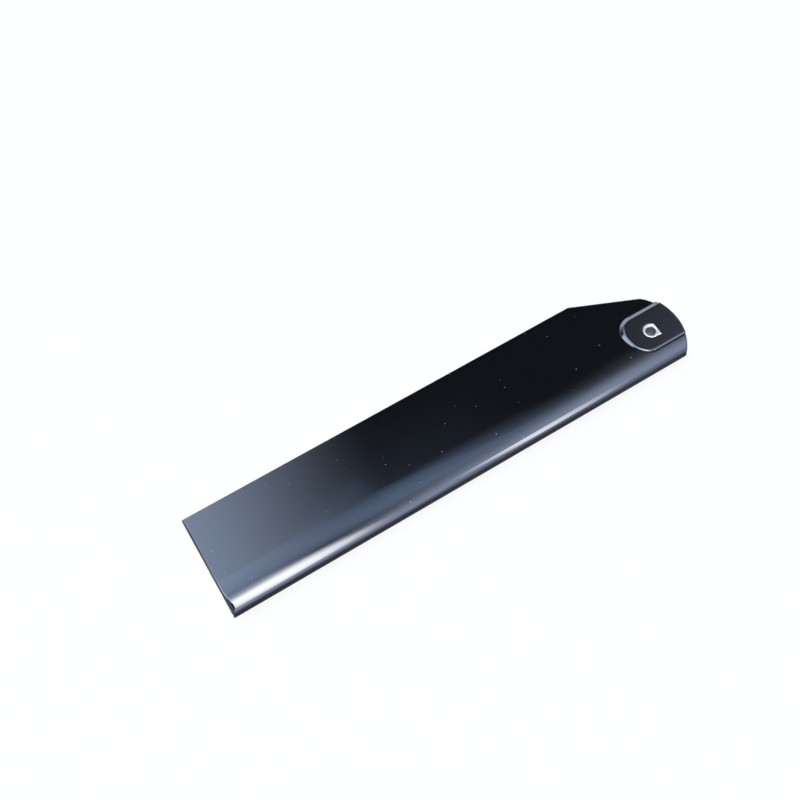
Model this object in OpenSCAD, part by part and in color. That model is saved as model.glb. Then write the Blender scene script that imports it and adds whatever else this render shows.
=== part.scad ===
// Tail rotor blade for a model helicopter: one glossy moulding with a metal bush in its thick root.
// +X runs from the bolt axis to the tip, +Y to the leading edge and +Z along the bolt.
// The origin is on the bolt axis, midway between the two clamping pads. Millimetres.

/* [Planform] */
// Bolt axis to the square-cut tip
blade_length = 105; // [85:1:125]
// Bolt axis forward to the leading edge
lead_offset = 8; // [7.5:0.1:9]
// Bolt axis back to the trailing edge
trail_offset = 15.4; // [13.5:0.1:18]
// Bolt axis inboard to the rounded root end
root_reach = 6.9; // [6.5:0.1:8.5]
// Radius of the rounded root end
root_end_r = 12.75; // [11:0.25:14]
// How far that arc's centre lies behind the bolt axis
root_end_shift = 0.4; // [0:0.1:0.8]
// Bolt axis outboard to the corner where the trailing edge tapers in
taper_reach = 10.6; // [8:0.1:18]
// Bolt axis back to the inboard end of that taper
taper_offset = 8.3; // [6.5:0.1:9]

/* [Section] */
// Greatest thickness of the blade
section_t = 4.5; // [3.6:0.1:4.7]
// Leading edge back to the crest, where the blade is thickest
crest_back = 4.8; // [4:0.1:7]
// Radius of each face over the crest
crest_r = 25; // [18:1:40]
// Radius of the nose
nose_r = 1.1; // [0.8:0.05:1.4]
// Thickness of the blunt trailing edge
trail_t = 0.85; // [0.5:0.05:1.2]
// Edge radius round the flat of the tip
tip_edge_r = 0.45; // [0.2:0.05:0.8]
// Edge radius where the tip runs round the nose
tip_nose_r = 1.4; // [0.9:0.1:2]

/* [Root pads] */
// Thickness over both clamping pads
root_t = 5; // [4.8:0.1:6]
// Width of each pad's flat top
pad_w = 8.4; // [7:0.1:9]
// Bolt axis outboard to the end of the flat top
pad_reach = 5.1; // [4:0.1:6.5]
// Corner radius at the outboard end of the flat top
pad_corner_r = 3.4; // [2:0.1:3.5]
// Height of the upright rim below the flat top
pad_rim = 0.15; // [0.1:0.05:0.2]
// Narrow ledge at the foot of that rim
pad_ledge = 0.05; // [0.03:0.01:0.1]
// Outward run of the sloped wall for each millimetre that it drops
pad_wall_run = 1.1; // [0.5:0.05:1.3]

/* [Bush] */
// Bore for the bolt that holds the blade in its grip
bore_d = 2.2; // [1.8:0.1:2.6]
// Wall of the metal bush
bush_wall = 0.6; // [0.4:0.05:0.8]
// Chamfer at each end of the bush's bore
bore_chamfer = 0.2; // [0.05:0.05:0.3]

/* [Hidden] */
$fn = 96;

// Points along each face from nose to trailing edge, and rings through the rounded tip
face_steps = 24;
tip_steps = 6;
// The tip's edge radius takes at most this share of the local half thickness
tip_share = 0.6;
// Facets round a full turn of the sloped pad wall
wall_fn = 64;
// How far cutting solids and buried ends run past what they cut or meet
margin = 2;

chord = lead_offset + trail_offset;
root_half = root_t / 2;
bore_r = bore_d / 2;
bush_r = bore_r + bush_wall;

// The rounded root end is an arc centred outboard of the bolt axis
root_centre = [root_end_r - root_reach, -root_end_shift];
taper_drop = taper_offset - root_end_shift;
taper_inner = [root_centre[0] - sqrt(pow(root_end_r, 2) - pow(taper_drop, 2)), -taper_offset];
taper_outer = [taper_reach, -trail_offset];

// Behind the crest each face is a parabola of the crest's radius, then a straight flank
crest_curve = 1 / crest_r;
aft_run = chord - crest_back;
aft_turn = aft_run * crest_curve;
flank_slope = aft_turn - sqrt(pow(aft_turn, 2) - (section_t - trail_t) * crest_curve);
flank_back = crest_back + flank_slope * crest_r;

// Ahead of it a square-root term rounds the nose, and a cubic meets the crest's slope and curvature
nose_root = sqrt(2 * nose_r);
fore_rise = section_t / 2 - nose_root * sqrt(crest_back);
fore_slope = -nose_root / (2 * sqrt(crest_back));
fore_curve = nose_root / (4 * pow(crest_back, 1.5)) - crest_curve;
fore_3 = (fore_curve * pow(crest_back, 2) / 2 - fore_slope * crest_back + fore_rise) / pow(crest_back, 3);
fore_2 = (fore_slope * crest_back - fore_rise) / pow(crest_back, 2) - 2 * fore_3 * crest_back;
fore_1 = fore_slope - 2 * fore_2 * crest_back - 3 * fore_3 * pow(crest_back, 2);

function fore_half(d) = nose_root * sqrt(d) + d * (fore_1 + d * (fore_2 + d * fore_3));
function crest_half(d) = section_t / 2 - crest_curve * pow(d - crest_back, 2) / 2;
function flank_half(d) = trail_t / 2 + flank_slope * (chord - d);

// Half thickness at a distance d behind the leading edge
function half_at(d) = d < crest_back ? fore_half(d) : d < flank_back ? crest_half(d) : flank_half(d);

// The same near the tip, where a quarter round eases the face down to the end
function nose_share(d) = max(0, 1 - d / crest_back);
function tip_r(d) = min(tip_edge_r + (tip_nose_r - tip_edge_r) * nose_share(d), tip_share * half_at(d));
function into_round(r, x) = r > 0 ? max(0, (x - blade_length + r) / r) : 0;
function round_drop(r, x) = r * (1 - sqrt(max(0, 1 - pow(into_round(r, x), 2))));
function half_near_tip(d, x) = half_at(d) - round_drop(tip_r(d), x);

// Distances behind the leading edge, close together round the nose
function face_place(k) = chord * pow(k / face_steps, 2);
function face_point(k, x, side) =
    let (d = face_place(k)) [x, lead_offset - d, side * half_near_tip(d, x)];

// One closed section at x: up the upper face to the nose, then back along the lower face
function section_ring(x) = concat(
    [for (k = [face_steps:-1:0]) face_point(k, x, 1)],
    [for (k = [1:face_steps]) face_point(k, x, -1)]
);

// A closed skin through rings of equally many points
module loft(rings) {
    n = len(rings[0]);
    last = n * (len(rings) - 1);
    polyhedron(
        points = [for (ring = rings) each ring],
        faces = concat(
            [[for (i = [n - 1:-1:0]) i]],
            [for (base = [0:n:last - n], i = [0:n - 1])
                let (a = base + i, b = base + (i + 1) % n)
                each [[a, b, a + n], [b, b + n, a + n]]],
            [[for (i = [0:n - 1]) last + i]]
        )
    );
}

// The full-width blade, from inside the root to the rounded tip
module blade_section() {
    tip_places = [for (k = [0:tip_steps]) blade_length - tip_nose_r * (1 - sin(90 * k / tip_steps))];
    loft([for (x = concat([-root_reach - margin], tip_places)) section_ring(x)]);
}

// Outline of a pad at a distance outside its flat top, open-ended past the root
module pad_outline(grow) {
    start_x = -root_reach - margin;
    corner_x = pad_reach - pad_corner_r;
    corner_y = pad_w / 2 - pad_corner_r;
    side = pad_w / 2 + grow;
    translate([start_x, -side])
        square([corner_x - start_x, 2 * side]);
    translate([start_x, -corner_y])
        square([pad_reach + grow - start_x, 2 * corner_y]);
    for (y = [-corner_y, corner_y])
        translate([corner_x, y])
            circle(r = pad_corner_r + grow);
}

// One clamping pad, from the mid plane up to its flat top
module root_pad() {
    rim_z = root_half - pad_rim;
    translate([0, 0, rim_z - pad_rim])
        linear_extrude(2 * pad_rim)
            pad_outline(0);
    hull($fn = wall_fn) {
        translate([0, 0, rim_z - pad_rim])
            linear_extrude(pad_rim)
                pad_outline(pad_ledge);
        linear_extrude(pad_rim)
            pad_outline(pad_ledge + pad_wall_run * (rim_z - pad_rim));
    }
}

// What the rounded root end leaves outside its arc
module root_end_cut() {
    far = root_end_r + root_reach + margin;
    linear_extrude(root_t + 2 * margin, center = true)
        difference() {
            translate([-far, -far - chord])
                square([far, 2 * (far + chord)]);
            translate(root_centre)
                circle(r = root_end_r);
        }
}

// What the slanted cut takes off the trailing edge beside the root
module taper_cut() {
    run = taper_outer - taper_inner;
    past = run * margin / norm(run);
    depth = -trail_offset - margin;
    linear_extrude(root_t + 2 * margin, center = true)
        polygon([
            taper_inner - past,
            taper_outer + past,
            [taper_outer[0] + past[0], depth - margin],
            [taper_inner[0] - past[0] - margin, depth - margin]
        ]);
}

module blade() {
    color("#15171b")
        difference() {
            union() {
                blade_section();
                for (side = [0, 1])
                    mirror([0, 0, side])
                        root_pad();
            }
            root_end_cut();
            taper_cut();
            cylinder(r = bush_r, h = root_t + 2 * margin, center = true);
        }
}

module root_bush() {
    color("#c6c9cd")
        rotate_extrude()
            polygon([
                [bore_r, -root_half + bore_chamfer],
                [bore_r + bore_chamfer, -root_half],
                [bush_r, -root_half],
                [bush_r, root_half],
                [bore_r + bore_chamfer, root_half],
                [bore_r, root_half - bore_chamfer]
            ]);
}

blade();
root_bush();
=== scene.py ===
"""Tail rotor blade of a model helicopter: gloss black moulding and metal bush in a plain studio.

Sizes are written in millimetres and turned into metres where a mesh is made.
The frame is the part's own: +X from the bolt axis to the tip, +Y to the leading edge, +Z along the bolt.
"""
import logging
import math
from dataclasses import dataclass, field
from enum import Enum
from typing import Any, Callable, Iterable, Sequence

import bmesh
import bpy
import numpy as np
from bpy.types import Material, NodeSocket, NodeTree, Object
from mathutils import Euler, Matrix, Vector


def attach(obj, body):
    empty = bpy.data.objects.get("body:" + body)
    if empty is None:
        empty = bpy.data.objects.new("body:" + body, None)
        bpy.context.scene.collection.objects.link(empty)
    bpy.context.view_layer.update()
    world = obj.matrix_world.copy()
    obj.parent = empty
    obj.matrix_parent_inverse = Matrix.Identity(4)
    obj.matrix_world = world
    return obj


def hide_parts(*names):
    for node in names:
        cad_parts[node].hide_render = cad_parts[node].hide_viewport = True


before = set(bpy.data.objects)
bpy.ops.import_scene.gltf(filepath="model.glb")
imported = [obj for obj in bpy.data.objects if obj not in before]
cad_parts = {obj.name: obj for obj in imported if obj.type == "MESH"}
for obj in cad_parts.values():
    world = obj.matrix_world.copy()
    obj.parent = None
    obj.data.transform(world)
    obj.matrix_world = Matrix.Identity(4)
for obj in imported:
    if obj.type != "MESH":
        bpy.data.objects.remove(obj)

MM = 0.001
LOG = logging.getLogger("tail_rotor_blade")
# Edges that turn by more than this stay crisp under the smooth shading
CRISP_DEG = 38.0

Array = np.ndarray
Face = tuple[int, ...]
Pair = tuple[float, float]
Triple = tuple[float, float, float]


class Side(Enum):
    """The two faces of the moulding, with the sign of their height."""

    UPPER = 1
    LOWER = -1


class Throw(Enum):
    """What a diffuser's light reaches."""

    ALL = "lights everything"
    GLOSS = "shows in glossy surfaces only"


def linear(hex_colour: str) -> tuple[float, float, float, float]:
    """Turns an sRGB hex colour into linear RGBA.

    Args:
        hex_colour: Six hex digits after a hash sign.

    Returns:
        Linear red, green and blue, and an alpha of one.
    """
    parts = [int(hex_colour[k:k + 2], 16) / 255 for k in (1, 3, 5)]
    r, g, b = (p / 12.92 if p <= 0.04045 else ((p + 0.055) / 1.055) ** 2.4 for p in parts)
    return r, g, b, 1.0


def add_node(tree: NodeTree, kind: str, inputs: dict[Any, Any] | None = None,
             **settings: Any) -> Any:
    """Adds a node with its settings, socket values and links.

    Args:
        tree: Node tree that gets the node.
        kind: Blender's type name of the node.
        inputs: Socket name or index to a value, or to an output socket that is linked to it.
        **settings: Attributes of the node itself.

    Returns:
        The new node.
    """
    node = tree.nodes.new(kind)
    for name, value in settings.items():
        setattr(node, name, value)
    for key, value in (inputs or {}).items():
        if isinstance(value, NodeSocket):
            tree.links.new(value, node.inputs[key])
        else:
            node.inputs[key].default_value = value
    return node


def remap(tree: NodeTree, value: NodeSocket, start: Pair,
          end: Pair = (0.0, 1.0), **settings: Any) -> NodeSocket:
    """Adds a node that maps one range of a value onto another and holds it there.

    Args:
        tree: Node tree that gets the node.
        value: Output socket with the value.
        start: Two levels of the value.
        end: What those two levels become.
        **settings: Attributes of the node itself.

    Returns:
        The output socket with the mapped value.
    """
    levels = {"From Min": start[0], "From Max": start[1], "To Min": end[0], "To Max": end[1]}
    return add_node(tree, "ShaderNodeMapRange", {"Value": value, **levels}, **settings).outputs["Result"]


def maths(tree: NodeTree, operation: str, *values: Any) -> NodeSocket:
    """Adds a node that works out one value from one or two others.

    Args:
        tree: Node tree that gets the node.
        operation: Blender's name of the operation.
        *values: Numbers or output sockets.

    Returns:
        The output socket with the result.
    """
    return add_node(tree, "ShaderNodeMath", dict(enumerate(values)), operation=operation).outputs[0]


def layered(tree: NodeTree, base: str, layers: Iterable[tuple[NodeSocket, str]]) -> Any:
    """Lays tints over a base colour, one after the other.

    Args:
        tree: Node tree that gets the nodes.
        base: The base as an sRGB hex colour.
        layers: Each tint's share, as an output socket, and its sRGB hex colour.

    Returns:
        The output socket with the mixed colour.
    """
    colour: Any = linear(base)
    for share, tint in layers:
        colour = add_node(tree, "ShaderNodeMix", {"Factor": share, 6: colour, 7: linear(tint)},
                          data_type="RGBA").outputs[2]
    return colour


def new_material(name: str) -> tuple[Material, NodeTree, NodeSocket]:
    """Starts a node material.

    Args:
        name: Name of the real material and its finish.

    Returns:
        The material, its node tree, and the socket with the place on the piece.
    """
    material = bpy.data.materials.new(name)
    material.use_nodes = True
    tree = material.node_tree
    tree.nodes.clear()
    return material, tree, add_node(tree, "ShaderNodeTexCoord").outputs["Object"]


def mesh_object(name: str, points_mm: Iterable[Sequence[float]], faces: Iterable[Face]) -> Object:
    """Makes a smooth-shaded mesh object, with its faces turned outward and its corners kept crisp.

    Args:
        name: Name of the object and its mesh.
        points_mm: Corners in millimetres.
        faces: Corner numbers of each face.

    Returns:
        The object, linked to the scene.
    """
    mesh = bpy.data.meshes.new(name)
    mesh.from_pydata([tuple(c * MM for c in p) for p in points_mm], [], list(faces))
    shell = bmesh.new()
    shell.from_mesh(mesh)
    bmesh.ops.recalc_face_normals(shell, faces=shell.faces)
    shell.to_mesh(mesh)
    shell.free()
    mesh.shade_smooth()
    mesh.set_sharp_from_angle(angle=math.radians(CRISP_DEG))
    piece = bpy.data.objects.new(name, mesh)
    bpy.context.scene.collection.objects.link(piece)
    return piece


@dataclass(frozen=True)
class GlossBlackNylon:
    """Black nylon moulded in a polished tool: a dark mirror-like skin with fine dust and white tears."""

    name: str = "gloss_black_moulded_nylon"
    skin: str = "#0e0f11"
    dust: str = "#aeb6c4"
    torn: str = "#c9cfda"
    ior: float = 1.5
    # A polished tool leaves a near mirror; the melt's flow varies it a little over a centimetre or two
    roughness: Pair = (0.045, 0.075)
    flow_mm: float = 14.0
    # The tool's polish leaves waves far longer than their height of a micrometre or so
    wave_mm: float = 22.0
    wave_height_mm: float = 0.05
    wave_strength: float = 0.2
    # Dust grains are a few hundredths of a millimetre; drawn at up to this radius so that they show
    dust_spacing_mm: float = 3.8
    dust_mm: float = 0.14
    # Grains below this chance are left out, and the skin shows through the others
    dust_chance: float = 0.6
    dust_cover: float = 0.4
    # Where flash and runner were torn off at the tip: middle and radius
    torn_spots_mm: tuple[tuple[float, float, float, float], ...] = (
        (104.9, -2.2, 0.4, 0.5), (104.9, 5.2, 0.2, 0.5), (104.9, 6.3, 0.3, 0.6), (104.8, 7.4, 0.2, 0.7),
    )
    # Torn nylon frays in fibres of about a fifth of a millimetre
    tear_mm: float = 0.22
    torn_cover: float = 0.85
    mark_roughness: float = 0.8

    def material(self) -> Material:
        """Builds the node material.

        Returns:
            The finished material.
        """
        material, tree, place = new_material(self.name)
        flow = add_node(tree, "ShaderNodeTexNoise",
                        {"Vector": place, "Scale": 1 / (self.flow_mm * MM), "Detail": 3.0, "Roughness": 0.55})
        gloss = remap(tree, flow.outputs["Fac"], (0.3, 0.7), self.roughness)
        wave = add_node(tree, "ShaderNodeTexNoise",
                        {"Vector": place, "Scale": 1 / (self.wave_mm * MM), "Detail": 1.0, "Roughness": 0.4})
        skin_waves = add_node(tree, "ShaderNodeBump",
                              {"Height": wave.outputs["Fac"], "Strength": self.wave_strength,
                               "Distance": self.wave_height_mm * MM})
        dusty, torn = self.marks(tree, place)
        colour = layered(tree, self.skin, ((dusty, self.dust), (torn, self.torn)))
        marked = maths(tree, "MAXIMUM", dusty, torn)
        dull = add_node(tree, "ShaderNodeMix",
                        {"Factor": marked, 2: gloss, 3: self.mark_roughness}, data_type="FLOAT")
        shader = add_node(tree, "ShaderNodeBsdfPrincipled",
                          {"Base Color": colour, "Roughness": dull.outputs[0],
                           "Normal": skin_waves.outputs["Normal"], "IOR": self.ior})
        add_node(tree, "ShaderNodeOutputMaterial", {"Surface": shader.outputs["BSDF"]})
        return material

    def marks(self, tree: NodeTree, place: NodeSocket) -> tuple[Any, Any]:
        """Lays out the dust grains and the torn spots.

        Args:
            tree: Node tree of the material.
            place: Socket with the place on the piece.

        Returns:
            Sockets with the share of dust and the share of torn material.
        """
        largest = self.dust_mm / self.dust_spacing_mm
        grains = add_node(tree, "ShaderNodeTexVoronoi",
                          {"Vector": place, "Scale": 1 / (self.dust_spacing_mm * MM), "Randomness": 1.0},
                          feature="F1", voronoi_dimensions="2D")
        chance = add_node(tree, "ShaderNodeSeparateColor", {"Color": grains.outputs["Color"]})
        reach = remap(tree, chance.outputs["Red"], (self.dust_chance, 1.0), (0.0, largest))
        grain = maths(tree, "SUBTRACT", reach, grains.outputs["Distance"])
        dusty = remap(tree, grain, (0.0, 0.4 * largest), (0.0, self.dust_cover))
        tear = add_node(tree, "ShaderNodeTexNoise",
                        {"Vector": place, "Scale": 1 / (self.tear_mm * MM), "Detail": 3.0, "Roughness": 0.6})
        near: Any = 0.0
        for *middle, radius in self.torn_spots_mm:
            away = add_node(tree, "ShaderNodeVectorMath",
                            {0: place, 1: tuple(c * MM for c in middle)}, operation="DISTANCE")
            share = remap(tree, away.outputs["Value"], (radius * MM, 0.4 * radius * MM))
            near = maths(tree, "MAXIMUM", near, share)
        fibres = remap(tree, tear.outputs["Fac"], (0.42, 0.62))
        ragged = maths(tree, "MULTIPLY", near, fibres)
        return dusty, remap(tree, ragged, (0.25, 0.6), (0.0, self.torn_cover))


@dataclass(frozen=True)
class TurnedAluminium:
    """Aluminium turned on a lathe: a bright satin end with fine rings, a cooler grey bore as painted shade,
    and painted shade in the groove at the bore's mouth.
    """

    name: str = "turned_aluminium"
    metal: str = "#aca292"
    # Painted shade: a cooler grey that stands in for the shade inside the bore
    bore: str = "#a0a3aa"
    residue: str = "#8a7b66"
    # Painted shade: a dark grey for the groove at the bore's mouth
    painted_groove_shade: str = "#3f3c38"
    roughness: Pair = (0.34, 0.5)
    # Painted shade in the bore: its cooler grey up to the first radius, and none of it from the second on
    bore_r_mm: Pair = (1.13, 1.2)
    # Painted shade darkens the groove between the sleeve's mouth and its lip
    groove_r_mm: float = 1.345
    groove_half_mm: float = 0.09
    # Tool marks are some hundredths of a millimetre apart; drawn at 0.12 mm so that they show
    ring_mm: float = 0.12
    ring_depth_mm: float = 0.01
    ring_strength: float = 0.35
    residue_mm: float = 0.9
    residue_cover: float = 0.5
    # How dark the painted shade in the groove gets
    painted_groove_shade_cover: float = 0.85

    def material(self) -> Material:
        """Builds the node material.

        Returns:
            The finished material.
        """
        material, tree, place = new_material(self.name)
        rings = add_node(tree, "ShaderNodeTexWave",
                         {"Vector": place, "Scale": 1 / (self.ring_mm * MM) / 3, "Distortion": 0.6,
                          "Detail": 2.0, "Detail Scale": 2.0},
                         wave_type="RINGS", rings_direction="Z", wave_profile="SIN")
        patches = add_node(tree, "ShaderNodeTexNoise",
                           {"Vector": place, "Scale": 1 / (self.residue_mm * MM), "Detail": 4.0,
                            "Roughness": 0.6})
        stain = remap(tree, patches.outputs["Fac"], (0.52, 0.75), (0.0, self.residue_cover))
        flat = add_node(tree, "ShaderNodeVectorMath", {0: place, 1: (1.0, 1.0, 0.0)}, operation="MULTIPLY")
        radius = add_node(tree, "ShaderNodeVectorMath", {0: flat.outputs["Vector"]}, operation="LENGTH")
        # Painted shade, laid on the bore and the foot of its chamfer by radius
        painted_bore_shade = remap(tree, radius.outputs["Value"], (self.bore_r_mm[1] * MM, self.bore_r_mm[0] * MM))
        # Painted shade along the groove between the sleeve's mouth and the lip
        past_groove = maths(tree, "SUBTRACT", radius.outputs["Value"], self.groove_r_mm * MM)
        off_groove = maths(tree, "ABSOLUTE", past_groove)
        painted_groove_shade = remap(tree, off_groove, (self.groove_half_mm * MM, 0.0), (0.0, self.painted_groove_shade_cover))
        layers = ((painted_bore_shade, self.bore), (stain, self.residue), (painted_groove_shade, self.painted_groove_shade))
        colour = layered(tree, self.metal, layers)
        gloss = remap(tree, patches.outputs["Fac"], (0.35, 0.7), self.roughness)
        marks = add_node(tree, "ShaderNodeBump",
                         {"Height": rings.outputs["Fac"], "Strength": self.ring_strength,
                          "Distance": self.ring_depth_mm * MM})
        shader = add_node(tree, "ShaderNodeBsdfPrincipled",
                          {"Base Color": colour, "Roughness": gloss, "Normal": marks.outputs["Normal"],
                           "Metallic": 1.0})
        add_node(tree, "ShaderNodeOutputMaterial", {"Surface": shader.outputs["BSDF"]})
        return material


@dataclass(frozen=True)
class WhiteSweep:
    """Matt white paper sweep: white to the camera, dimmer in mirrors, and with a faint shadow."""

    name: str = "white_paper_sweep"
    paper: str = "#e9e9ea"
    pale: str = "#f2f2f2"
    fibre_mm: float = 6.0
    # Share of its own white, and how much of that is left in mirrors
    glow: float = 0.86
    mirrored: float = 0.5

    def material(self) -> Material:
        """Builds the node material.

        Returns:
            The finished material.
        """
        material, tree, place = new_material(self.name)
        fibre = add_node(tree, "ShaderNodeTexNoise", {"Vector": place, "Scale": 1 / (self.fibre_mm * MM)})
        paper = layered(tree, self.paper, ((fibre.outputs["Fac"], self.pale),))
        matt = add_node(tree, "ShaderNodeBsdfDiffuse", {"Color": paper})
        path = add_node(tree, "ShaderNodeLightPath")
        level = remap(tree, path.outputs["Is Glossy Ray"], (0.0, 1.0), (1.0, self.mirrored))
        white = add_node(tree, "ShaderNodeEmission", {"Color": (1, 1, 1, 1), "Strength": level})
        seen = maths(tree, "MAXIMUM", path.outputs["Is Camera Ray"], path.outputs["Is Glossy Ray"])
        seen = maths(tree, "MAXIMUM", seen, path.outputs["Is Transmission Ray"])
        share = maths(tree, "MULTIPLY", seen, self.glow)
        shader = add_node(tree, "ShaderNodeMixShader",
                          {0: share, 1: matt.outputs["BSDF"], 2: white.outputs["Emission"]})
        add_node(tree, "ShaderNodeOutputMaterial", {"Surface": shader.outputs["Shader"]})
        return material


@dataclass
class SubAssembly:
    """A piece of the part, with the node that it stands for, its slot and its finish."""

    node: str
    slot: str
    finish: GlossBlackNylon | TurnedAluminium

    def dress(self, piece: Object) -> None:
        """Gives the piece its finish and its place in the frame.

        Args:
            piece: The object that was built for it.
        """
        piece.data.materials.append(self.finish.material())
        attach(piece, "root")
        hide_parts(self.node)


@dataclass
class BladeMoulding(SubAssembly):
    """The moulding: symmetrical section, rounded tip, tapered trailing edge and two clamping pads."""

    node: str = "blade"
    slot: str = "blade_plastic"
    finish: GlossBlackNylon = field(default_factory=GlossBlackNylon)

    blade_length: float = 105.0
    lead_offset: float = 8.0
    trail_offset: float = 15.4
    root_reach: float = 6.9
    root_end_r: float = 12.75
    root_end_shift: float = 0.4
    taper_reach: float = 10.6
    taper_offset: float = 8.3

    section_t: float = 4.5
    crest_back: float = 4.8
    crest_r: float = 25.0
    nose_r: float = 1.1
    trail_t: float = 0.85
    tip_edge_r: float = 0.45
    tip_nose_r: float = 1.4
    tip_share: float = 0.6

    root_t: float = 5.0
    pad_w: float = 8.4
    pad_reach: float = 5.1
    pad_corner_r: float = 3.4
    hole_r: float = 1.7

    # How much further than drawn the pad reaches at its trailing side, outboard end and leading side
    pad_swell: Triple = (0.62, 0.38, 0.0)
    pad_grow: float = 0.1
    # Lean of the pad's worn shoulder at two distances out over it
    pad_edge_w: Pair = (0.08, 0.38)
    pad_edge_deg: Pair = (16.0, 26.0)
    # The chamfer below that shoulder, at the same three places: its width, and its drop
    pad_chamfer: tuple[Triple, ...] = ((0.72, 0.34, 0.01), (0.43, 0.22, 0.012))
    # How deep the pad's wall is rooted in the moulding, and how far it draws in on the way
    pad_depth: float = 1.2
    pad_draft: float = 0.05
    # On the leading side a witness groove of the tool runs along the rim's foot
    pad_groove: float = 0.14
    pad_groove_half_w: float = 0.14
    # Across the chord it fades in between these places
    pad_groove_fade: Pair = (-1.0, 3.0)
    pad_sink: float = 0.02
    # Edges whose radii only show close up: cuts, root end and the bush's hole
    cut_edge_r: float = 0.1
    root_edge_r: float = 0.22
    hole_edge_r: float = 0.025
    # Flash on the parting line: how far it stands out, the same at the tip, and half its height
    flash: float = 0.03
    tip_flash: float = 0.18
    flash_half_h: float = 0.05
    # The share of it that is left after trimming, and how much that wanders: leading edge, then the others
    nose_trim: Pair = (0.12, 0.08)
    edge_trim: Pair = (0.3, 0.2)
    # A film of plastic crept over the bush's root side: its straight rim, and the least turn towards the root
    film_x: float = -1.5
    film_cos: float = -0.1
    # Where flash was trimmed badly along the leading edge: place from the bolt axis and half length
    nubs: tuple[Pair, ...] = (
        (14.0, 0.6), (21.5, 0.9), (24.6, 0.5), (28.0, 0.8), (40.5, 0.6), (43.0, 0.9), (47.0, 0.5),
        (61.0, 0.7), (78.5, 0.6), (93.0, 0.5), (104.4, 0.6),
    )
    # The runner was cut off at the tip
    gate_y: float = -2.2
    gate_half_w: float = 0.5
    # The tip's flash stands at least this share, and in full this far behind the leading edge
    tip_flash_least: float = 0.25
    nose_flash_back: float = 1.0
    nose_flash_half_w: float = 1.5

    # Grid spacing where the pads are, and the sizes of the finely and freely spaced stretches
    fine: float = 0.11
    fine_span: float = 14.0
    tip_span: float = 2.0
    free_columns: int = 64
    nose_rows: int = 28
    nose_to: float = 3.0
    pad_to: float = 14.0
    flank_rows: int = 12
    flank_end: float = 0.5
    tip_columns: int = 18
    # Closely spaced lines at the trailing edge and at the inboard edge, as distances from them
    trail_lines: tuple[float, ...] = (0.35, 0.2, 0.14, 0.09, 0.05, 0.02, 0.005, 0.0)
    inboard_lines: tuple[float, ...] = (0.0, 0.006, 0.02, 0.05, 0.09, 0.14)
    inboard_to: float = 0.2
    patch_half: float = 3.0
    pad_turns: int = 360
    pad_rings: int = 6
    shoulder_rings: int = 14

    @property
    def chord(self) -> float:
        """Leading edge to trailing edge."""
        return self.lead_offset + self.trail_offset

    @property
    def pad_top(self) -> float:
        """Height of the pad's flat top, a hair below the bush's end."""
        return self.root_t / 2 - self.pad_sink

    def half_thickness(self, back: Array) -> Array:
        """Half thickness of the plain section.

        Args:
            back: Distances behind the leading edge.

        Returns:
            Half thickness at each distance.
        """
        curve, crest = 1 / self.crest_r, self.crest_back
        aft = (self.chord - crest) * curve
        slope = aft - math.sqrt(aft ** 2 - (self.section_t - self.trail_t) * curve)
        root = math.sqrt(2 * self.nose_r)
        rise = self.section_t / 2 - root * math.sqrt(crest)
        lean = -root / (2 * math.sqrt(crest))
        bend = root / (4 * crest ** 1.5) - curve
        third = (bend * crest ** 2 / 2 - lean * crest + rise) / crest ** 3
        second = (lean * crest - rise) / crest ** 2 - 2 * third * crest
        first = lean - 2 * second * crest - 3 * third * crest ** 2
        fore = root * np.sqrt(back) + back * (first + back * (second + back * third))
        over = self.section_t / 2 - curve * (back - crest) ** 2 / 2
        flank = self.trail_t / 2 + slope * (self.chord - back)
        return np.where(back < crest, fore, np.where(back < crest + slope * self.crest_r, over, flank))

    def pad_distance(self, x: Array, y: Array) -> Array:
        """Distance outside the outline of the pad's flat top, which is open towards the root end.

        Args:
            x: Places along the span.
            y: Places across the chord.

        Returns:
            Distances, negative on the flat top.
        """
        across = np.abs(y) - (self.pad_w / 2 - self.pad_corner_r)
        beyond = x - (self.pad_reach - self.pad_corner_r)
        corner = np.hypot(np.maximum(across, 0), np.maximum(beyond, 0))
        swell = np.interp(y, (-self.pad_w / 2, 0.0, self.pad_w / 3), self.pad_swell)
        return corner + np.minimum(np.maximum(across, beyond), 0) - self.pad_corner_r - swell

    def face_height(self, x: Array, y: Array) -> Array:
        """Height of the upper face: the section, with the groove along the pad's leading side.

        Args:
            x: Places along the span.
            y: Places across the chord.

        Returns:
            Height above the mid plane.
        """
        plain = self.half_thickness(np.clip(self.lead_offset - self.flash - y, 0, self.chord))
        leading = np.interp(y, self.pad_groove_fade, (0, 1))
        away = self.pad_distance(x, y) - self.pad_grow
        return plain - self.pad_groove * leading * np.exp(-(away / self.pad_groove_half_w) ** 2)

    def inboard_end(self, y: Array) -> tuple[Array, Array]:
        """Where the moulding starts along the span: the rounded root end, then the taper.

        Args:
            y: Places across the chord.

        Returns:
            The x of the inboard edge, and the share of a step in x that leads straight away from that edge.
        """
        radius = self.root_end_r - self.flash
        centre = self.root_end_r - self.root_reach
        corner_x = centre - math.sqrt(radius ** 2 - (self.taper_offset - self.root_end_shift) ** 2)
        arc = centre - np.sqrt(np.maximum(radius ** 2 - (y + self.root_end_shift) ** 2, 0))
        run = (self.taper_reach - corner_x) / (self.trail_offset - self.taper_offset)
        taper = corner_x + (-self.taper_offset - y) * run
        straight = np.where(y > -self.taper_offset, (centre - arc) / radius, 1 / math.hypot(1, run))
        return np.where(y > -self.taper_offset, arc, taper), straight

    @staticmethod
    def quarter_round(inward: Array, radius: Array | float) -> Array:
        """How far a rounded edge falls below its face.

        Args:
            inward: Distance in from the edge.
            radius: Radius of the edge.

        Returns:
            The fall, which is the radius at the edge itself.
        """
        radius = np.maximum(radius, 1e-6)
        into = np.clip(1 - inward / radius, 0, 1)
        return radius * (1 - np.sqrt(1 - into ** 2))

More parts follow.
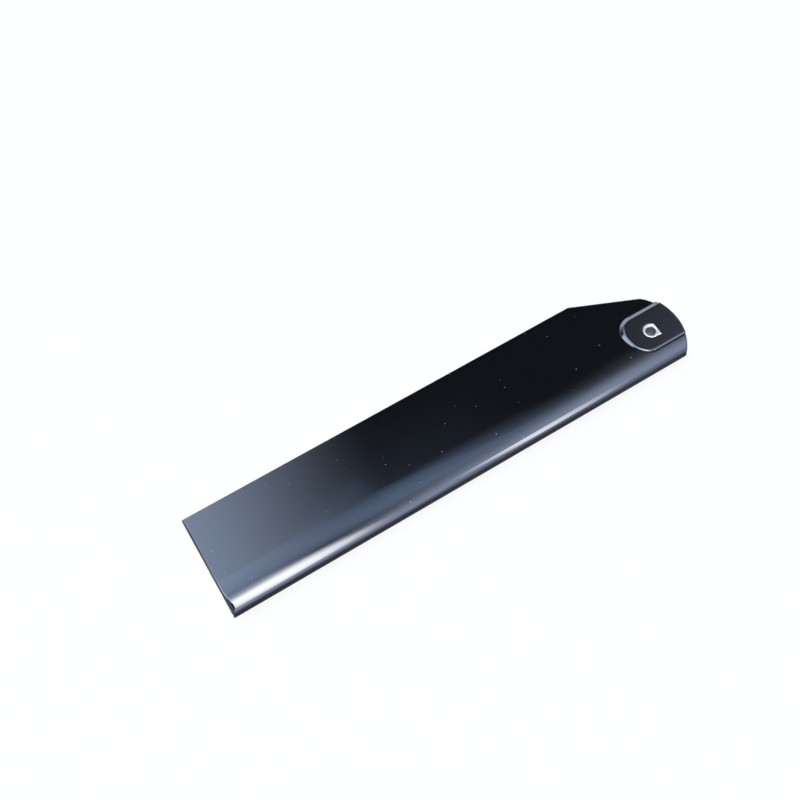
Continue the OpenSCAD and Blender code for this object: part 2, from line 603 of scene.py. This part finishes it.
    def rows(self) -> Array:
        """Spaces the rows: close at the nose, even over the pads, close again at the trailing edge.

        Returns:
            Distances behind the leading edge.
        """
        edge = self.chord - 2 * self.flash
        nose = self.nose_to * np.linspace(0, 1, self.nose_rows + 1) ** 2
        pads = np.arange(self.nose_to + self.fine, self.pad_to, self.fine)
        flank = np.linspace(self.pad_to, edge - self.flank_end, self.flank_rows)
        return np.concatenate([nose, pads, flank, edge - np.array(self.trail_lines)])

    def columns(self) -> Array:
        """Spaces the columns along the longest row: close at its ends, even over the pads.

        Returns:
            Distances from the inboard edge out to the tip.
        """
        reach = self.blade_length + self.root_reach - self.flash - self.tip_flash
        pads = np.arange(self.inboard_to, self.fine_span, self.fine)
        free = np.linspace(self.fine_span, reach - self.tip_span, self.free_columns)
        turn = np.sin(np.linspace(0, math.pi / 2, self.tip_columns))
        tip = reach - self.tip_nose_r * (1 - turn)
        return np.concatenate([self.inboard_lines, pads, free, tip])

    def spread(self, starts: Array) -> Array:
        """Lays the columns out along every row, with the stretches at both ends kept true to size.

        Args:
            starts: The x at which each row starts.

        Returns:
            The x of each column (first index) in each row (second index).
        """
        column = self.columns()[:, None]
        whole = self.columns()[-1]
        reach = self.blade_length - self.tip_flash - starts[None, :]
        middle = whole - self.fine_span - self.tip_span
        freely = reach - self.fine_span - self.tip_span
        stretched = self.fine_span + (column - self.fine_span) * freely / middle
        along = np.where(column < self.fine_span, column,
                         np.where(column > whole - self.tip_span, reach - (whole - column), stretched))
        return starts[None, :] + along

    def flash_share(self, x: Array) -> Array:
        """How much of the full flash stands along the leading edge.

        Args:
            x: Places along the span.

        Returns:
            Shares between nought and one.
        """
        share = self.nose_trim[0] + self.nose_trim[1] * np.sin(x * 1.9) * np.sin(x * 0.63 + 1)
        for place, half in self.nubs:
            share = share + np.exp(-((x - place) / half) ** 2)
        return np.clip(share, 0, 1)

    def grid(self) -> tuple[Array, Array, Array]:
        """The upper face as a grid of columns by rows.

        Returns:
            The x, y and height of each corner.
        """
        back = self.rows()
        y_row = self.lead_offset - self.flash - back
        starts, straight = self.inboard_end(y_row)
        x = self.spread(starts)
        y = np.broadcast_to(y_row[None, :], x.shape).copy()
        z = self.face_height(x, y)
        share = self.tip_share * z
        nose = np.clip(1 - back / self.crest_back, 0, 1)
        tip_r = np.minimum(self.tip_edge_r + (self.tip_nose_r - self.tip_edge_r) * nose[None, :], share)
        cut_r = np.minimum(self.cut_edge_r, share)
        end_r = np.minimum(np.where(y > -self.taper_offset, self.root_edge_r, self.cut_edge_r), share)
        z = z - self.quarter_round(self.blade_length - self.tip_flash - x, tip_r)
        z = z - self.quarter_round((x - starts[None, :]) * straight[None, :], end_r)
        z = z - self.quarter_round(y + self.trail_offset - self.flash, cut_r)
        y[:, 0] += self.flash * self.flash_share(x[:, 0])
        z[:, 0] = 0
        return x, y, np.maximum(z, 0)

    def build(self) -> Object:
        """Builds the skin: two faces, the edge round them, the bush's hole and the pads.

        Returns:
            The moulding's object.
        """
        x, y, z = self.grid()
        n_col, n_row = x.shape
        points: list[Triple] = []
        faces: list[Face] = []
        number = {side: np.full((n_col, n_row), -1, dtype=int) for side in Side}

        middle = n_row // 2
        row_mid = int(np.argmin(np.abs(y[middle, :])))
        i0, i1 = (int(np.argmin(np.abs(x[:, row_mid] - e))) for e in (-self.patch_half, self.patch_half))
        j0, j1 = (int(np.argmin(np.abs(y[0, :] - e))) for e in (self.patch_half, -self.patch_half))

        for side in Side:
            for i in range(n_col):
                for j in range(n_row):
                    if i0 < i < i1 and j0 < j < j1:
                        continue
                    if side is Side.LOWER and j == 0:
                        number[side][i, 0] = number[Side.UPPER][i, 0]
                        continue
                    number[side][i, j] = len(points)
                    points.append((x[i, j], y[i, j], side.value * z[i, j]))
            for i in range(n_col - 1):
                for j in range(n_row - 1):
                    if i0 <= i < i1 and j0 <= j < j1:
                        continue
                    a, b = number[side][i, j], number[side][i, j + 1]
                    c, d = number[side][i + 1, j + 1], number[side][i + 1, j]
                    faces.append((a, b, c, d))

        rims = [self.hole_patch(points, faces, number[side], (i0, i1, j0, j1), side) for side in Side]
        faces += [(rims[0][k - 1], rims[0][k], rims[1][k], rims[1][k - 1]) for k in range(len(rims[0]))]
        self.edge_band(points, faces, number)
        for side in Side:
            self.add_pad(points, faces, side)
        return mesh_object("blade_moulding", points, faces)

    def hole_patch(self, points: list, faces: list, number: Array, block: tuple[int, int, int, int],
                   side: Side) -> list[int]:
        """Fills the block of the grid under the pad, from its corners in to the bush's hole.

        Args:
            points: Corners so far, added to here.
            faces: Faces so far, added to here.
            number: Corner numbers of this side's grid.
            block: First and last column and row of the block.
            side: Which face of the moulding it is; not used.

        Returns:
            Corner numbers round the hole.
        """
        i0, i1, j0, j1 = block
        loop = [(i, j0) for i in range(i0, i1)] + [(i1, j) for j in range(j0, j1)]
        loop += [(i, j1) for i in range(i1, i0, -1)] + [(i0, j) for j in range(j1, j0, -1)]
        outer = [int(number[i, j]) for i, j in loop]
        rim = list(range(len(points), len(points) + len(outer)))
        for corner in outer:
            px, py, pz = points[corner]
            share = self.hole_r / math.hypot(px, py)
            points.append((px * share, py * share, pz))
        faces += [(outer[k - 1], outer[k], rim[k], rim[k - 1]) for k in range(len(rim))]
        return rim

    def pad_outline(self, inset: Array | float, turns: Array) -> Array:
        """How far the flat top reaches from the bush's middle, up to its rim and the root end.

        Args:
            inset: How far the outline is drawn in, or out past the rim where it is negative.
            turns: Directions, in radians.

        Returns:
            Radius in each direction.
        """
        centre, radius = self.root_end_r - self.root_reach, self.root_end_r - self.flash
        low, high = np.zeros_like(turns), np.full_like(turns, 2 * self.root_reach)
        for _ in range(40):
            reach = (low + high) / 2
            x, y = reach * np.cos(turns), reach * np.sin(turns)
            beyond_root = np.hypot(x - centre, y + self.root_end_shift) - radius
            out = np.maximum(self.pad_distance(x, y) + inset, beyond_root + np.maximum(inset, 0)) > 0
            low, high = np.where(out, low, reach), np.where(out, reach, high)
        return low

    def add_pad(self, points: list, faces: list, side: Side) -> None:
        """Adds a pad with its shoulder and chamfer, and on the upper one the film that crept over the bush.

        Args:
            points: Corners so far, added to here.
            faces: Faces so far, added to here.
            side: Which face of the moulding it is on.
        """
        turns = np.linspace(0, 2 * math.pi, self.pad_turns, endpoint=False)
        hole, top = self.hole_edge_r, self.pad_top
        foot = top - self.pad_depth
        free = np.full_like(turns, self.hole_r)
        lip = free + hole
        if side is Side.UPPER:
            rootward = np.minimum(np.cos(turns), self.film_cos)
            film = np.minimum(lip, self.film_x / rootward)
            lip = np.where(np.cos(turns) < self.film_cos, film, lip)
        rings = [(free, foot), (free, top - 1.2 * hole)]
        rings += [(lip - hole * math.cos(t), top - hole * (1 - math.sin(t)))
                  for t in np.linspace(0, math.pi / 2, 5)]
        out = np.linspace(0, self.pad_edge_w[1], self.shoulder_rings)
        grade = np.tan(np.radians(np.interp(out, (0, *self.pad_edge_w), (0, *self.pad_edge_deg))))
        drop = np.concatenate([[0.0], np.cumsum((grade[1:] + grade[:-1]) / 2 * np.diff(out))])
        outlines = [self.pad_outline(out[-1] - o - self.pad_grow, turns) for o in out]
        rings += [(lip + (outlines[0] - lip) * k / self.pad_rings, top) for k in range(1, self.pad_rings)]
        rings += [(outline, top - d) for outline, d in zip(outlines, drop)]
        knots = (-self.pad_w / 2, 0.0, self.pad_w / 3)
        width, fall = (np.interp(outlines[-1] * np.sin(turns), knots, values) for values in self.pad_chamfer)
        rings.append((self.pad_outline(-self.pad_grow - width, turns), top - drop[-1] - fall))
        rings.append((self.pad_outline(self.pad_draft - self.pad_grow - width, turns), foot))
        start, count = len(points), len(turns)
        for radius, height in rings:
            points += [(r * math.cos(t), r * math.sin(t), side.value * h)
                       for r, t, h in zip(radius, turns, np.broadcast_to(height, turns.shape))]
        for ring in range(len(rings)):
            here, there = start + ring * count, start + (ring + 1) % len(rings) * count
            faces += [(here + k - 1, here + k, there + k, there + k - 1) for k in range(1, count)]
            faces.append((here + count - 1, here, there, there + count - 1))

    def edge_band(self, points: list, faces: list, number: dict[Side, Array]) -> None:
        """Closes the edge round tip, trailing edge, taper and root end, with its parting line.

        Args:
            points: Corners so far, added to here.
            faces: Faces so far, added to here.
            number: Corner numbers of both grids.
        """
        n_col, n_row = number[Side.UPPER].shape
        path = [(n_col - 1, j) for j in range(n_row)] + [(i, n_row - 1) for i in range(n_col - 2, -1, -1)]
        path += [(0, j) for j in range(n_row - 2, -1, -1)]
        tops = [int(number[Side.UPPER][p]) for p in path]
        lows = [int(number[Side.LOWER][p]) for p in path]
        flat = np.array([points[t][:2] for t in tops])
        along = np.gradient(flat, axis=0)
        outward = np.stack([along[:, 1], -along[:, 0]], axis=1)
        outward /= np.maximum(np.linalg.norm(outward, axis=1, keepdims=True), 1e-9)
        if outward[n_row // 2, 0] < 0:
            outward = -outward
        outward[:n_row] = (1, 0)
        step = np.arange(len(path))
        wander = self.edge_trim[0] + self.edge_trim[1] * np.sin(step * 0.21) * np.sin(step * 0.047)
        at_gate = np.exp(-((flat[:, 1] - self.gate_y) / self.gate_half_w) ** 4)
        off_nose = flat[:, 1] - self.lead_offset + self.nose_flash_back
        at_nose = np.exp(-(off_nose / self.nose_flash_half_w) ** 2)
        at_tip = np.clip(wander + self.tip_flash_least + at_gate + at_nose, 0, 1)
        stand = np.where(step < n_row, self.tip_flash * at_tip, self.flash * wander)
        chains = []
        for k, (top, low) in enumerate(zip(tops, lows)):
            if top == low:
                chains.append([top])
                continue
            rise = min(self.flash_half_h, 0.4 * points[top][2])
            chain = [top]
            for height, out in ((rise, 0.0), (0.0, stand[k]), (-rise, 0.0)):
                chain.append(len(points))
                points.append((flat[k, 0] + out * outward[k, 0], flat[k, 1] + out * outward[k, 1], height))
            chains.append(chain + [low])
        for here, there in zip(chains, chains[1:]):
            if len(here) == 1 or len(there) == 1:
                single, many = (here, there) if len(here) == 1 else (there, here)
                faces += [(single[0], many[k], many[k + 1]) for k in range(len(many) - 1)]
                continue
            faces += [(here[k], there[k], there[k + 1], here[k + 1]) for k in range(len(here) - 1)]


@dataclass
class RootBush(SubAssembly):
    """The metal bush in the root: a turned sleeve with chamfered ends, and a torn lip on its upper end."""

    node: str = "root_bush"
    slot: str = "bush_metal"
    finish: TurnedAluminium = field(default_factory=TurnedAluminium)

    bore_d: float = 2.2
    wall: float = 0.6
    length: float = 5.0
    chamfer: float = 0.2
    edge: float = 0.04
    sink: float = 0.05
    segments: int = 180

    # The lip's two corners, from the bore's middle, and the ring that it leaves free round the bore
    lip_corners: tuple[Pair, Pair] = ((-1.5, -1.15), (-1.45, 1.85))
    lip_inner_r: float = 1.37
    lip_t: float = 0.035
    # How ragged its rim is, and how dented its top
    lip_ragged: float = 0.012
    lip_dent: float = 0.004

    @property
    def outer_r(self) -> float:
        """Radius of the sleeve's outside."""
        return self.bore_d / 2 + self.wall

    def end_profile(self) -> list[Pair]:
        """Draws one end of the sleeve, from the outside wall in to the bore.

        Returns:
            Radius of each corner and its depth below the end.
        """
        outer, bore, sink = self.outer_r, self.bore_d / 2, self.sink
        mouth = bore + self.chamfer
        return [
            (outer, sink + self.edge), (outer - 0.3 * self.edge, sink + 0.3 * self.edge),
            (outer - self.edge, sink), (mouth + 0.02, sink), (mouth, sink + 0.008),
            (bore + 0.015, sink + self.chamfer - 0.015), (bore, sink + self.chamfer + 0.02),
        ]

    def build(self) -> Object:
        """Builds the sleeve and its lip as one mesh.

        Returns:
            The bush's object.
        """
        half = self.length / 2
        end = self.end_profile()
        ring = [(r, half - depth) for r, depth in end]
        ring += [(r, depth - half) for r, depth in reversed(end)]
        points: list[Triple] = []
        faces: list[Face] = []
        self.revolve(points, faces, lambda turn: ring)
        self.revolve(points, faces, self.lip_profile)
        return mesh_object("root_bush_sleeve", points, faces)

    def revolve(self, points: list, faces: list,
                profile: Callable[[float], list[Pair]]) -> None:
        """Adds a closed ring with a section that may change round the bore.

        Args:
            points: Corners so far, added to here.
            faces: Faces so far, added to here.
            profile: Gives the section, as radius and height, for a direction in radians.
        """
        start, count = len(points), len(profile(0.0))
        for k in range(self.segments):
            turn = 2 * math.pi * k / self.segments
            points += [(r * math.cos(turn), r * math.sin(turn), z) for r, z in profile(turn)]
        for k in range(self.segments):
            here, there = start + k * count, start + (k + 1) % self.segments * count
            faces += [(here + m, there + m, there + (m + 1) % count, here + (m + 1) % count)
                      for m in range(count)]

    def lip_reach(self, turn: float) -> float:
        """How far the lip reaches: a straight tear between its corners, else the ring drawn out to them.

        Args:
            turn: Direction from the bore's middle, in radians.

        Returns:
            Radius of the lip's rim.
        """
        way = Vector((math.cos(turn), math.sin(turn)))
        first, second = (Vector(corner) for corner in self.lip_corners)
        tear = second - first
        across = way.cross(tear)
        if abs(across) > 1e-6:
            reach = first.cross(tear) / across
            if reach > 0 and 0 <= (way * reach - first).dot(tear) <= tear.length_squared:
                return reach
        ring = reach = self.outer_r - 0.02
        for corner in (first, second):
            apart = abs(way.angle(corner))
            widest = math.acos(ring / corner.length)
            if apart < widest:
                reach = max(reach, ring / math.cos(widest - apart))
        return reach

    def lip_profile(self, turn: float) -> list[Pair]:
        """The lip's section in one direction: a thin crowned plate with a ragged rim.

        Args:
            turn: Direction from the bore's middle, in radians.

        Returns:
            Radius and height of each corner.
        """
        top, inner = self.length / 2, self.lip_inner_r
        rim = self.lip_reach(turn) + self.lip_ragged * math.sin(9 * turn) * math.sin(23 * turn + 1)
        dent = self.lip_dent * (1 + math.sin(11 * turn))
        return [
            (inner, top - 0.022), (inner + 0.03, top - 0.008), (0.5 * (rim + inner), top - dent),
            (rim - 0.03, top - 0.006 - dent), (rim, top - 0.5 * self.lip_t), (rim - 0.01, top - self.lip_t),
            (inner, top - self.lip_t - 0.02),
        ]


@dataclass
class Softbox:
    """A flat diffuser over the table, whose glow changes along it and is soft at its rims."""

    name: str
    centre_m: Triple
    size_m: Pair
    turn_deg: float
    radiance: Pair
    soft: Pair
    tint: str
    throw: Throw = Throw.GLOSS

    def build(self) -> Object:
        """Hangs the diffuser with its glow, out of the camera's sight.

        Returns:
            The diffuser's object.
        """
        mesh = bpy.data.meshes.new(self.name)
        corners = [(-0.5, -0.5, 0), (-0.5, 0.5, 0), (0.5, 0.5, 0), (0.5, -0.5, 0)]
        mesh.from_pydata(corners, [], [(0, 1, 2, 3)])
        panel = bpy.data.objects.new(self.name, mesh)
        bpy.context.scene.collection.objects.link(panel)
        panel.location = self.centre_m
        panel.scale = (*self.size_m, 1)
        panel.rotation_euler = (0, 0, math.radians(self.turn_deg))
        panel.visible_camera = False
        panel.visible_shadow = False
        panel.visible_diffuse = self.throw is Throw.ALL
        panel.data.materials.append(self.glow())
        return panel

    def glow(self) -> Material:
        """Builds the diffuser's light, which adds to what shows through the cloth.

        Returns:
            The emitting material.
        """
        material, tree, place = new_material(f"{self.name}_diffuser_cloth")
        axes = add_node(tree, "ShaderNodeSeparateXYZ", {"Vector": place})
        strength = remap(tree, axes.outputs["X"], (-0.5, 0.5), self.radiance)
        for axis, soft in zip("XY", self.soft):
            off = maths(tree, "ABSOLUTE", axes.outputs[axis])
            rim = remap(tree, off, (0.5, 0.5 - max(soft, 0.001)), interpolation_type="SMOOTHSTEP")
            strength = maths(tree, "MULTIPLY", strength, rim)
        light = add_node(tree, "ShaderNodeEmission", {"Color": linear(self.tint), "Strength": strength})
        through = add_node(tree, "ShaderNodeBsdfTransparent")
        cloth = add_node(tree, "ShaderNodeAddShader",
                         {0: light.outputs["Emission"], 1: through.outputs["BSDF"]})
        add_node(tree, "ShaderNodeOutputMaterial", {"Surface": cloth.outputs["Shader"]})
        return material


@dataclass
class Studio:
    """White table, softboxes overhead, and a room with pale walls and a dark ceiling."""

    sweep: WhiteSweep = field(default_factory=WhiteSweep)
    table_m: float = 8.0
    # The blade rests on the trailing side of its lower pad and on the crest at its tip
    pad_contact: Triple = (1.25, -4.2, -2.5)
    tip_contact: Triple = (105.0, 2.0, -2.222)
    roll: float = -0.047
    # A hair of room between the blade and the table, in millimetres
    clearance: float = 0.01
    # The room's plain light on matt surfaces, and what glossy ones mirror of its horizon and its walls
    room_matt: float = 0.02
    horizon: tuple[str, float] = ("#c3d2f2", 1.1)
    walls: tuple[str, float] = ("#d0defc", 3.6)
    # Where these are nought and full, as sines of the elevation: horizon's top, walls' foot, walls' top
    fades: tuple[Pair, ...] = ((0.4, 0.1), (0.1, 0.4), (0.66, 0.48))

    softboxes: tuple[Softbox, ...] = (
        Softbox("key_softbox", (0.045, 1.111, 2.0), (0.725, 2.468), 7.8,
                (19.3, 12.3), (0.424, 0.255), "#fbfdff", Throw.ALL),
        Softbox("far_softbox", (0.435, -0.886, 2.004), (2.931, 1.443), -101.2,
                (11.6, 7.6), (0.02, 0.5), "#c9ddff", Throw.ALL),
        Softbox("side_softbox", (-1.035, 2.07, 2.008), (0.639, 2.111), 17.4,
                (0.1, 22.7), (0.434, 0.09), "#f8faff"),
        Softbox("key_glow", (0.28, 0.58, 2.012), (0.997, 2.079), 10.6,
                (9.7, 5.2), (0.131, 0.344), "#f3f9ff"),
        Softbox("far_edge", (0.016, -0.707, 2.016), (1.137, 1.198), 20.1,
                (0.6, 1.64), (0.023, 0.029), "#a9c8ff"),
        Softbox("ceiling_spill", (-0.373, -0.372, 2.02), (2.457, 1.244), -80.1,
                (0.92, 4.85), (0.449, 0.5), "#b6d2ff"),
        Softbox("ceiling_glow", (-0.539, 1.64, 2.024), (3.118, 6.465), -38.4,
                (8.2, 5.8), (0.384, 0.353), "#cdddff"),
        Softbox("nose_card", (-1.6, 2.45, 2.026), (1.0, 1.7), 25.0, (2.6, 2.6), (0.5, 0.5), "#cdddff"),
        Softbox("back_card", (-5.5, -11.5, 2.028), (14.0, 17.0), 0.0, (3.6, 3.6), (0.15, 0.1), "#e0e7f8"),
        Softbox("tip_card", (1.9, -1.0, 2.032), (2.4, 2.2), 0.0, (18.0, 5.0), (0.15, 0.3), "#d3e0ff"),
    )

    def build(self) -> list[Object]:
        """Sets up table, room and softboxes.

        Returns:
            The studio's objects.
        """
        self.build_room()
        return [self.build_table()] + [box.build() for box in self.softboxes]

    def build_table(self) -> Object:
        """Lays the white sweep where the blade comes to rest on it.

        Returns:
            The table's object.
        """
        pad, tip = Vector(self.pad_contact), Vector(self.tip_contact)
        pitch = (tip.z - pad.z - self.roll * (tip.y - pad.y)) / (tip.x - pad.x)
        up = Vector((-pitch, -self.roll, 1)).normalized()
        mesh = bpy.data.meshes.new("table_sweep")
        half = self.table_m / 2
        corners = [(-half, -half, 0), (half, -half, 0), (half, half, 0), (-half, half, 0)]
        mesh.from_pydata(corners, [], [(0, 1, 2, 3)])
        table = bpy.data.objects.new("table_sweep", mesh)
        bpy.context.scene.collection.objects.link(table)
        table.rotation_mode = "QUATERNION"
        table.rotation_quaternion = up.to_track_quat("Z", "Y")
        table.location = (pad - up * self.clearance) * MM
        table.data.materials.append(self.sweep.material())
        return table

    def build_room(self) -> None:
        """Makes the room: white behind the table, and banded where glossy surfaces mirror it."""
        world = bpy.data.worlds.new("studio_room")
        world.use_nodes = True
        tree = world.node_tree
        tree.nodes.clear()
        way = add_node(tree, "ShaderNodeTexCoord").outputs["Generated"]
        height = add_node(tree, "ShaderNodeSeparateXYZ", {"Vector": way}).outputs["Z"]
        low, rise, fall = (remap(tree, height, fade, interpolation_type="SMOOTHSTEP") for fade in self.fades)
        band = maths(tree, "MULTIPLY", rise, fall)
        path = add_node(tree, "ShaderNodeLightPath")
        plain = maths(tree, "MAXIMUM", path.outputs["Is Camera Ray"], self.room_matt)
        room = add_node(tree, "ShaderNodeBackground", {"Color": (1, 1, 1, 1), "Strength": plain})
        for share, (tint, level) in ((low, self.horizon), (band, self.walls)):
            glossy = maths(tree, "MULTIPLY", share, path.outputs["Is Glossy Ray"])
            strength = maths(tree, "MULTIPLY", glossy, level)
            light = add_node(tree, "ShaderNodeBackground", {"Color": linear(tint), "Strength": strength})
            room = add_node(tree, "ShaderNodeAddShader", {0: room.outputs[0], 1: light.outputs[0]})
        add_node(tree, "ShaderNodeOutputWorld", {"Surface": room.outputs[0]})
        bpy.context.scene.world = world


@dataclass
class StudioCamera:
    """The camera, over the leading edge and the tip."""

    location_mm: Triple = (103.0936, 78.701, 192.8835)
    turn_deg: Triple = (28.8352, 2.0146, 148.6567)
    lens_mm: float = 46.956
    sensor_mm: float = 36.0
    clip_m: Pair = (0.005, 50.0)

    def build(self) -> Object:
        """Sets the camera up and makes it the scene's own.

        Returns:
            The camera's object.
        """
        data = bpy.data.cameras.new("studio_camera")
        data.lens, data.sensor_width = self.lens_mm, self.sensor_mm
        data.clip_start, data.clip_end = self.clip_m
        camera = bpy.data.objects.new("studio_camera", data)
        bpy.context.scene.collection.objects.link(camera)
        spin = Euler([math.radians(a) for a in self.turn_deg], "XYZ").to_matrix().to_4x4()
        camera.matrix_world = Matrix.Translation(Vector(self.location_mm) * MM) @ spin
        bpy.context.scene.camera = camera
        return camera


def report(piece: Object) -> None:
    """Logs a piece's name, size and face count.

    Args:
        piece: An object of the part or the studio.
    """
    span = ", ".join(f"{side / MM:.1f}" for side in piece.dimensions)
    count = len(piece.data.polygons) if piece.type == "MESH" else 0
    LOG.info("%s: %s mm, %d faces", piece.name, span, count)


def main() -> None:
    """Builds the part and the studio round it, in order."""
    logging.basicConfig(level=logging.INFO, format="%(name)s: %(message)s")
    bpy.context.scene.view_settings.view_transform = "Standard"
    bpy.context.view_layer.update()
    report(StudioCamera().build())
    for assembly in (BladeMoulding(), RootBush()):
        piece = assembly.build()
        assembly.dress(piece)
        report(piece)
    for thing in Studio().build():
        report(thing)


if __name__ == "__main__":
    main()
